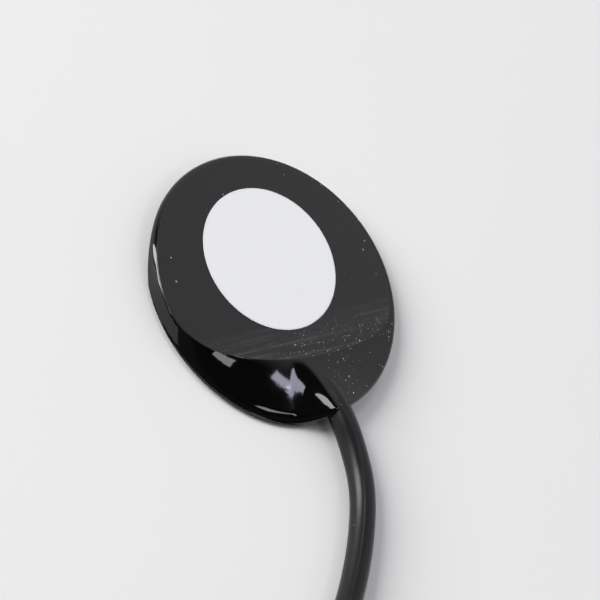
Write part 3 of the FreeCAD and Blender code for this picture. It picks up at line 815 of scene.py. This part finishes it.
class PICKUP_OT_tie(bpy.types.Operator):
    """Ties the coil with a flat wire tie whose ends are twisted together"""

    bl_idname = "pickup.tie"
    bl_label = "Coil tie"

    place_on_coil = math.radians(82.0)
    end_half_width = 0.75 * MM
    end_half_thickness = 0.42 * MM
    end_height = 3.0 * MM
    end_droop = 1.4 * MM
    end_twists = 3.5

    def execute(self, context):
        lead = context.scene.pickup_lead
        material = plain_finish("Tie plastic", lead.tie_color, 0.3, 0.45, 0.0, 1500.0, 0.006)
        at = self.place_on_coil
        outward = np.array([math.cos(at), math.sin(at), 0.0])
        sideways = np.array([-math.sin(at), math.cos(at), 0.0])
        up = np.array([0.0, 0.0, 1.0])
        middle = np.array([lead.coil_x, lead.coil_y, 0.0])

        # A band: a flat rounded section carried round the loop, square to the coil
        path = tie_loop(lead, lead.tie_thickness / 2)
        ahead = np.roll(path, -1, axis=0) - np.roll(path, 1, axis=0)
        ahead /= np.linalg.norm(ahead, axis=1, keepdims=True)
        off = np.stack([ahead[:, 1], -ahead[:, 0]], axis=1)
        around = np.linspace(0, TURN, 20, endpoint=False)
        wide = np.sign(np.cos(around)) * np.abs(np.cos(around)) ** 0.5 * lead.tie_width / 2
        thick = np.sign(np.sin(around)) * np.abs(np.sin(around)) ** 0.5 * lead.tie_thickness / 2
        place = path[:, None] + off[:, None] * thick[None, :, None]
        band = (middle + place[..., :1] * outward + place[..., 1:] * up + wide[None, :, None] * sideways)
        strap = add_piece("coil_tie", band, [grid_quads(*band.shape[:2], wrap_rows=True)], material)

        # The ends: the same section, narrower, turned about a line that leads away from the coil
        way = np.linspace(0, 1, 90)[:, None]
        twist = way * TURN * self.end_twists
        narrow = self.end_half_width * (1 - 0.55 * way) * np.cos(around)
        flat = self.end_half_thickness * (1 - 0.3 * way) * np.sin(around)
        side = narrow * np.cos(twist) - flat * np.sin(twist)
        lift = narrow * np.sin(twist) + flat * np.cos(twist)
        start = path[:, 0].max() + 0.1 * MM
        height = self.end_height - self.end_droop * way ** 2
        ends = (middle + (start + way * lead.tie_tail)[..., None] * outward + side[..., None] * sideways
                + (height + lift)[..., None] * up)
        points, faces = capped_grid(ends, ends[0].mean(axis=0), ends[-1].mean(axis=0))
        twisted = add_piece("tie_ends", points, faces, material)
        for piece in (strap, twisted):
            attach(piece, BODY)
        return {"FINISHED"}


# Plug

def placed_on_plug(along, radius, angle):
    """Points turned about the plug's axis, which runs along Y through the shank's mount."""
    rear = shank["pos_m"][1] - REAR_TO_SHANK
    x = shank["pos_m"][0] + radius * np.cos(angle)
    z = shank["pos_m"][2] + radius * np.sin(angle)
    y = rear + along + 0 * angle
    return np.stack([x + 0 * y, y + 0 * x, z + 0 * y], axis=2)


def turned_loop(outline, columns):
    """A bored turned piece from its closed (along, radius) outline."""
    angle = np.arange(columns) * TURN / columns
    points = placed_on_plug(outline[:, :1], outline[:, 1:], angle[None, :])
    return points, [grid_quads(*points.shape[:2], wrap_rows=True)]


class PICKUP_OT_plug(bpy.types.Operator):
    """Turns the plug's handle, sleeve, insulator and tip"""

    bl_idname = "pickup.plug"
    bl_label = "Plug"

    def execute(self, context):
        plug = context.scene.pickup_plug
        handle_metal = plating_material("Handle plating", plug.handle_color)
        nickel = plating_material("Plug nickel", plug.metal_color)
        moulded = plain_finish("Plug insulator", plug.insulator_color, 0.22, 0.34, 0.0, 1500.0, 0.003)
        made = {
            "handle": (self.handle(plug), handle_metal, "plug_handle", "handle_metal"),
            "sleeve": (self.sleeve(plug), nickel, "plug_sleeve", "plug_nickel"),
            "insulator": (self.insulator(plug), moulded, "tip_insulator", "plug_insulator"),
            "tip": (self.tip(plug), nickel, "plug_tip", "plug_nickel"),
        }
        for name, ((points, faces), material, solid, slot) in made.items():
            piece = add_piece("turned_" + name, points, faces, material)
            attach(piece, BODY)
            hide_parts(solid)
        return {"FINISHED"}

    def handle(self, plug):
        """The handle: a tapered rear and a grip with ring grooves and fine knurling between them.

        A groove takes its depth times one less the distance from its middle in half widths. The knurling takes its
        depth times one less the smaller of two folded waves, which run round the grip in opposite slants, and fades
        in and out at both ends of the grip.
        """
        length = plug.handle_length
        outer = eased_corners([
            (0.0, plug.hole_radius),
            (0.0, plug.rear_radius),
            (0.9 * MM, plug.rear_radius + 0.15 * MM),
            (plug.taper_length, plug.handle_radius),
            (length, plug.handle_radius),
            (length, plug.bore_radius),
            (plug.rear_wall, plug.bore_radius),
            (plug.rear_wall, plug.hole_radius),
        ], 0.3 * MM)
        margin, fade_length = 0.3 * MM, 0.4 * MM
        grip_start, grip_end = plug.taper_length + 1.4 * MM, length - 1.6 * MM
        grip = np.linspace(grip_start - margin, grip_end + margin, 181)
        middles = plug.groove_start + plug.groove_pitch * np.arange(plug.grooves)
        off = np.abs(grip[:, None] - middles).min(axis=1)
        groove = plug.groove_depth * np.clip(1 - off / (plug.groove_width / 2), 0, 1)
        taper_points = 4 * CORNER_STEPS
        cut = np.searchsorted(outer[:taper_points, 0], grip_start - margin)
        outline = np.vstack([outer[:cut], np.stack([grip, plug.handle_radius - groove], axis=1), outer[cut:]])
        columns = plug.knurls * 8
        angle = np.arange(columns) * TURN / columns
        along = outline[:, :1] + 0 * angle
        radius = outline[:, 1:] + 0 * angle
        slant = along / plug.handle_radius
        one = np.abs(((angle + slant) * plug.knurls / TURN) % 1 - 0.5) * 2
        other = np.abs(((angle - slant) * plug.knurls / TURN) % 1 - 0.5) * 2
        cross = np.clip(1 - 2.6 * np.minimum(one, other), 0, 1)
        fade = ease((along - grip_start) / fade_length) * ease((grip_end - along) / fade_length)
        on_grip = radius > plug.handle_radius - 0.01 * MM
        radius = radius - plug.knurl_depth * cross * fade * on_grip
        points = placed_on_plug(along, radius, angle[None, :])
        return points, [grid_quads(*points.shape[:2], wrap_rows=True)]

    def sleeve(self, plug):
        """The sleeve: boss, stepped collar and shank, bored for the insulating tube."""
        boss_rear = plug.handle_length - plug.boss_length
        front = plug.handle_length + plug.collar_length
        step_length, step_depth = 0.9 * MM, 0.35 * MM
        ring_rear = front + plug.shank_length - plug.tip_length - plug.ring_length
        outline = eased_corners([
            (boss_rear, plug.tube_radius),
            (boss_rear, plug.boss_radius),
            (plug.handle_length, plug.boss_radius),
            (plug.handle_length, plug.collar_radius),
            (front - step_length, plug.collar_radius),
            (front - step_length, plug.collar_radius - step_depth),
            (front, plug.collar_radius - step_depth),
            (front, plug.shank_radius),
            (ring_rear, plug.shank_radius),
            (ring_rear, plug.tube_radius),
        ], 0.12 * MM)
        return turned_loop(outline, 96)

    def insulator(self, plug):
        """The insulator: its ring behind the tip and its tube along the rod."""
        tip_rear = plug.handle_length + plug.collar_length + plug.shank_length - plug.tip_length
        ring_rear = tip_rear - plug.ring_length
        lug_thickness = 0.35 * MM
        rear = plug.handle_length - plug.boss_length - lug_thickness
        outline = eased_corners([
            (rear, plug.rod_radius),
            (rear, plug.tube_radius),
            (ring_rear, plug.tube_radius),
            (ring_rear, plug.shank_radius),
            (tip_rear, plug.shank_radius),
            (tip_rear, plug.rod_radius),
        ], 0.06 * MM)
        return turned_loop(outline, 96)

    def tip(self, plug):
        """The tip: a land, a neck and a blunt cone, on a rod with a riveted end.

        The profile is a list of (along, radius) points, with the cone's end rounded by a quarter ellipse.
        """
        front = plug.handle_length + plug.collar_length + plug.shank_length
        rear = front - plug.tip_length
        rod_end = plug.handle_length - plug.boss_length - 1.85 * MM
        cone = front - 1.3 * MM
        rivet_radius = 0.95 * MM
        swing = np.linspace(0.0, math.pi / 2, 14)[:-1]
        nose = np.stack([cone + 0.15 * MM + (front - cone - 0.15 * MM) * np.sin(swing),
                         (plug.shank_radius - 0.05 * MM) * np.cos(swing) ** 0.8], axis=1)
        profile = np.vstack([
            [(rod_end, 0.3 * MM), (rod_end, 0.85 * MM), (rod_end + 0.1 * MM, rivet_radius),
             (rod_end + 0.35 * MM, rivet_radius), (rod_end + 0.351 * MM, plug.rod_radius),
             (rear - 0.01 * MM, plug.rod_radius),
             (rear, plug.shank_radius - 0.08 * MM), (rear + 0.06 * MM, plug.shank_radius),
             (rear + 0.4 * MM, plug.shank_radius), (rear + 0.46 * MM, plug.shank_radius - 0.05 * MM),
             (rear + 0.85 * MM, 1.24 * MM), (rear + 0.95 * MM, 1.2 * MM), (rear + 1.1 * MM, 1.21 * MM),
             (cone - 0.5 * MM, plug.shank_radius - 0.03 * MM), (cone - 0.35 * MM, plug.shank_radius),
             (cone, plug.shank_radius), (cone + 0.1 * MM, plug.shank_radius - 0.02 * MM)],
            nose,
        ])
        angle = np.arange(96) * TURN / 96
        rings = placed_on_plug(profile[:, :1], profile[:, 1:], angle[None, :])
        nose_end = rings[-1].mean(axis=0) + (0, 0.02 * MM, 0)
        return capped_grid(rings, rings[0].mean(axis=0), nose_end)


class PICKUP_OT_cord_facts(bpy.types.Operator):
    """Takes no step: the lead, the plug and the tie stay as the other operators built them"""

    bl_idname = "pickup.cord_facts"
    bl_label = "State the lead"

    def execute(self, context):
        return {"FINISHED"}


# Stage

CAMERA_BACK = Vector((0.2083, -0.6230, 0.7536))
ROW_RIGHT = Vector((0.948, 0.317, 0.0))
CAMERA_ROLL = (0.596, 0.803)

# What the camera looks at: this high above the bench in the head's middle, then to the right and down, in millimetres
AIM_HEIGHT = 1.5
AIM_RIGHT = 1.86
AIM_DOWN = 1.32


def camera_axes():
    """The camera's right, up and back. Right and up are the level right and the square up, rolled together."""
    back = CAMERA_BACK.normalized()
    level = ROW_RIGHT.normalized()
    square = back.cross(level)
    cos_roll, sin_roll = CAMERA_ROLL
    right = (cos_roll * level + sin_roll * square).normalized()
    return right, back.cross(right), back


def surround_world(stage):
    """The room: white on the far side and low all round, and dark overhead and behind the camera.

    The light from a direction is the surround times the larger of two products of smooth steps: far side and not
    overhead, and left side and low. A faint light that falls off toward the top is added.
    """
    world = bpy.data.worlds.new("Room")
    world.use_nodes = True
    tree = world.node_tree
    direction = node(tree, "ShaderNodeTexCoord").outputs["Generated"]
    far_way = Vector((-CAMERA_BACK.x, -CAMERA_BACK.y, 0.0)).normalized()
    left_way = -ROW_RIGHT.normalized()
    far, left = (
        node(tree, "ShaderNodeVectorMath", {"operation": "DOT_PRODUCT"}, {0: direction, 1: way}).outputs["Value"]
        for way in (far_way, left_way)
    )
    z = node(tree, "ShaderNodeSeparateXYZ", None, {"Vector": direction}).outputs["Z"]
    far_side = math_node(tree, "MULTIPLY", span(tree, far, 0.02, 0.34), span(tree, z, 0.86, 0.79))
    left_side = math_node(tree, "MULTIPLY", span(tree, left, 0.2, 0.6), span(tree, z, 0.55, 0.35))
    bright = math_node(tree, "MAXIMUM", far_side, left_side)
    rest = span(tree, z, 0.80, 0.45, 0.012, 0.09)
    level = math_node(tree, "MULTIPLY", math_node(tree, "ADD", bright, rest), stage.surround)
    tree.links.new(level, tree.nodes["Background"].inputs["Strength"])
    tree.nodes["Background"].inputs["Color"].default_value = (0.97, 0.985, 1.0, 1.0)
    return world


# Windows of the room: azimuth from the camera's side round to its left and height above the bench of their two ends,
# their breadth, all in degrees, their brightness as a share of the main window's, and their colour
WINDOWS = (
    ("Main window", (58.0, 8.0), (58.0, 47.0), 27.0, 1.0, (1.0, 0.995, 0.99)),
    ("Strip light, near end", (-151.5, 59.3), (-159.5, 60.3), 2.4, 0.65, (0.80, 0.80, 1.0)),
    ("Strip light, middle", (-159.5, 60.3), (-174.9, 72.6), 3.0, 0.65, (0.80, 0.80, 1.0)),
    ("Strip light, far end", (-174.9, 72.6), (133.0, 78.4), 3.6, 0.65, (0.80, 0.80, 1.0)),
    ("Side window", (93.0, 67.8), (110.0, 60.3), 8.0, 0.65, (0.95, 0.98, 1.0)),
    ("Right window", (-81.0, 57.0), (-118.0, 64.0), 6.0, 0.35, (1.0, 1.0, 1.0)),
    ("Lower pane", (24.0, 36.0), (24.0, 41.0), 7.0, 0.5, (1.0, 0.78, 0.78)),
    ("Middle pane", (28.0, 43.0), (28.0, 48.0), 7.0, 0.5, (1.0, 0.80, 0.80)),
    ("Upper pane", (32.0, 50.0), (32.0, 55.0), 7.0, 0.5, (1.0, 0.84, 0.84)),
)


def room_way(azimuth, height):
    """A direction in the room from its azimuth and its height, both in degrees."""
    toward_camera = Vector((CAMERA_BACK.x, CAMERA_BACK.y, 0.0)).normalized()
    left = -ROW_RIGHT.normalized()
    azimuth, height = math.radians(azimuth), math.radians(height)
    level = math.cos(azimuth) * toward_camera + math.sin(azimuth) * left
    return math.cos(height) * level + Vector((0.0, 0.0, math.sin(height)))


def add_window(name, start, end, breadth, radiance, color, distance=1.1):
    """A flat light that faces the head, reaches from one direction to the other and is that broad and that bright."""
    start, end = room_way(*start), room_way(*end)
    away = (start + end).normalized()
    along = end - start
    length = distance * along.length
    width = distance * math.radians(breadth)
    light = bpy.data.lights.new(name, "AREA")
    light.shape = "RECTANGLE"
    light.size, light.size_y = length, width
    light.energy = radiance * math.pi * length * width
    light.color = color
    window = bpy.data.objects.new(name, light)
    bpy.context.scene.collection.objects.link(window)
    side = (along - along.dot(away) * away).normalized()
    turn = Matrix((side, away.cross(side), away)).transposed().to_4x4()
    window.matrix_world = Matrix.Translation(away * distance) @ turn
    window.visible_camera = False


class PICKUP_OT_stage(bpy.types.Operator):
    """Sets the floor, the light and the camera"""

    bl_idname = "pickup.stage"
    bl_label = "Stage"

    def execute(self, context):
        stage = context.scene.pickup_stage
        scene = context.scene
        scene.view_settings.view_transform = "Standard"
        scene.view_settings.look = "None"

        material, tree, shader, coords = start_material("Pale floor", stage.floor_color, 0.6)
        cloudy = effect(tree, "Uneven Surface", coords, Scale=22.0, Low=0.55, High=0.7)
        darker = tuple(0.965 * part for part in stage.floor_color)
        feed(tree, shader, Base_Color=tinted(tree, cloudy.outputs["Height"], stage.floor_color, darker),
             Roughness=cloudy.outputs["Value"])
        half = stage.floor_size / 2
        corners = np.array([(-half, -half, 0.0), (half, -half, 0.0), (half, half, 0.0), (-half, half, 0.0)])
        floor = add_piece("floor", corners, [np.array([[0, 1, 2, 3]])], material, smooth=False)

        scene.world = surround_world(stage)
        right, up, back = camera_axes()
        for name, start, end, breadth, strength, color in WINDOWS:
            add_window(name, start, end, breadth, strength * stage.window, color)

        camera = bpy.data.cameras.new("Camera")
        camera.lens = stage.lens
        camera.sensor_width = 36.0
        camera.clip_start, camera.clip_end = 0.01, 20.0
        eye = bpy.data.objects.new("Camera", camera)
        scene.collection.objects.link(eye)
        face = Vector((0.0, 0.0, AIM_HEIGHT * MM))
        target = face + right * AIM_RIGHT * MM - up * AIM_DOWN * MM
        turn = Matrix((right, up, back)).transposed().to_4x4()
        eye.matrix_world = Matrix.Translation(target + back * stage.distance) @ turn
        scene.camera = eye
        return {"FINISHED"}


class PICKUP_PT_sidebar(bpy.types.Panel):
    """Everything that the pickup is made of"""

    bl_idname = "PICKUP_PT_sidebar"
    bl_label = "Contact pickup"
    bl_space_type = "VIEW_3D"
    bl_region_type = "UI"
    bl_category = "Pickup"

    def draw(self, context):
        for title, settings, operators in PANEL_ROWS:
            box = self.layout.box()
            box.label(text=title)
            for operator in operators:
                box.operator(operator)
            group = getattr(context.scene, settings)
            for name in group.__annotations__:
                box.prop(group, name)


PANEL_ROWS = (
    ("Head", "pickup_head", ("pickup.head", "pickup.face", "pickup.inside")),
    ("Lead", "pickup_lead", ("pickup.lead", "pickup.tie", "pickup.cord_facts")),
    ("Plug", "pickup_plug", ("pickup.plug",)),
    ("Stage", "pickup_stage", ("pickup.stage",)),
)

SETTINGS = {
    "pickup_head": HeadSettings,
    "pickup_lead": LeadSettings,
    "pickup_plug": PlugSettings,
    "pickup_stage": StageSettings,
}

CLASSES = (
    *SETTINGS.values(),
    PICKUP_OT_head,
    PICKUP_OT_face,
    PICKUP_OT_inside,
    PICKUP_OT_lead,
    PICKUP_OT_tie,
    PICKUP_OT_plug,
    PICKUP_OT_cord_facts,
    PICKUP_OT_stage,
    PICKUP_PT_sidebar,
)


def register():
    """Registers the classes and puts their settings on the scene."""
    for each in CLASSES:
        bpy.utils.register_class(each)
    for name, group in SETTINGS.items():
        setattr(bpy.types.Scene, name, bpy.props.PointerProperty(type=group))


def unregister():
    """Takes the settings and the classes away again."""
    for name in SETTINGS:
        delattr(bpy.types.Scene, name)
    for each in reversed(CLASSES):
        bpy.utils.unregister_class(each)


def main():
    """Builds everything in order."""
    register()
    bpy.ops.pickup.lead()
    bpy.ops.pickup.head()
    bpy.ops.pickup.face()
    bpy.ops.pickup.inside()
    bpy.ops.pickup.tie()
    bpy.ops.pickup.plug()
    bpy.ops.pickup.cord_facts()
    bpy.ops.pickup.stage()


if __name__ == "__main__":
    main()
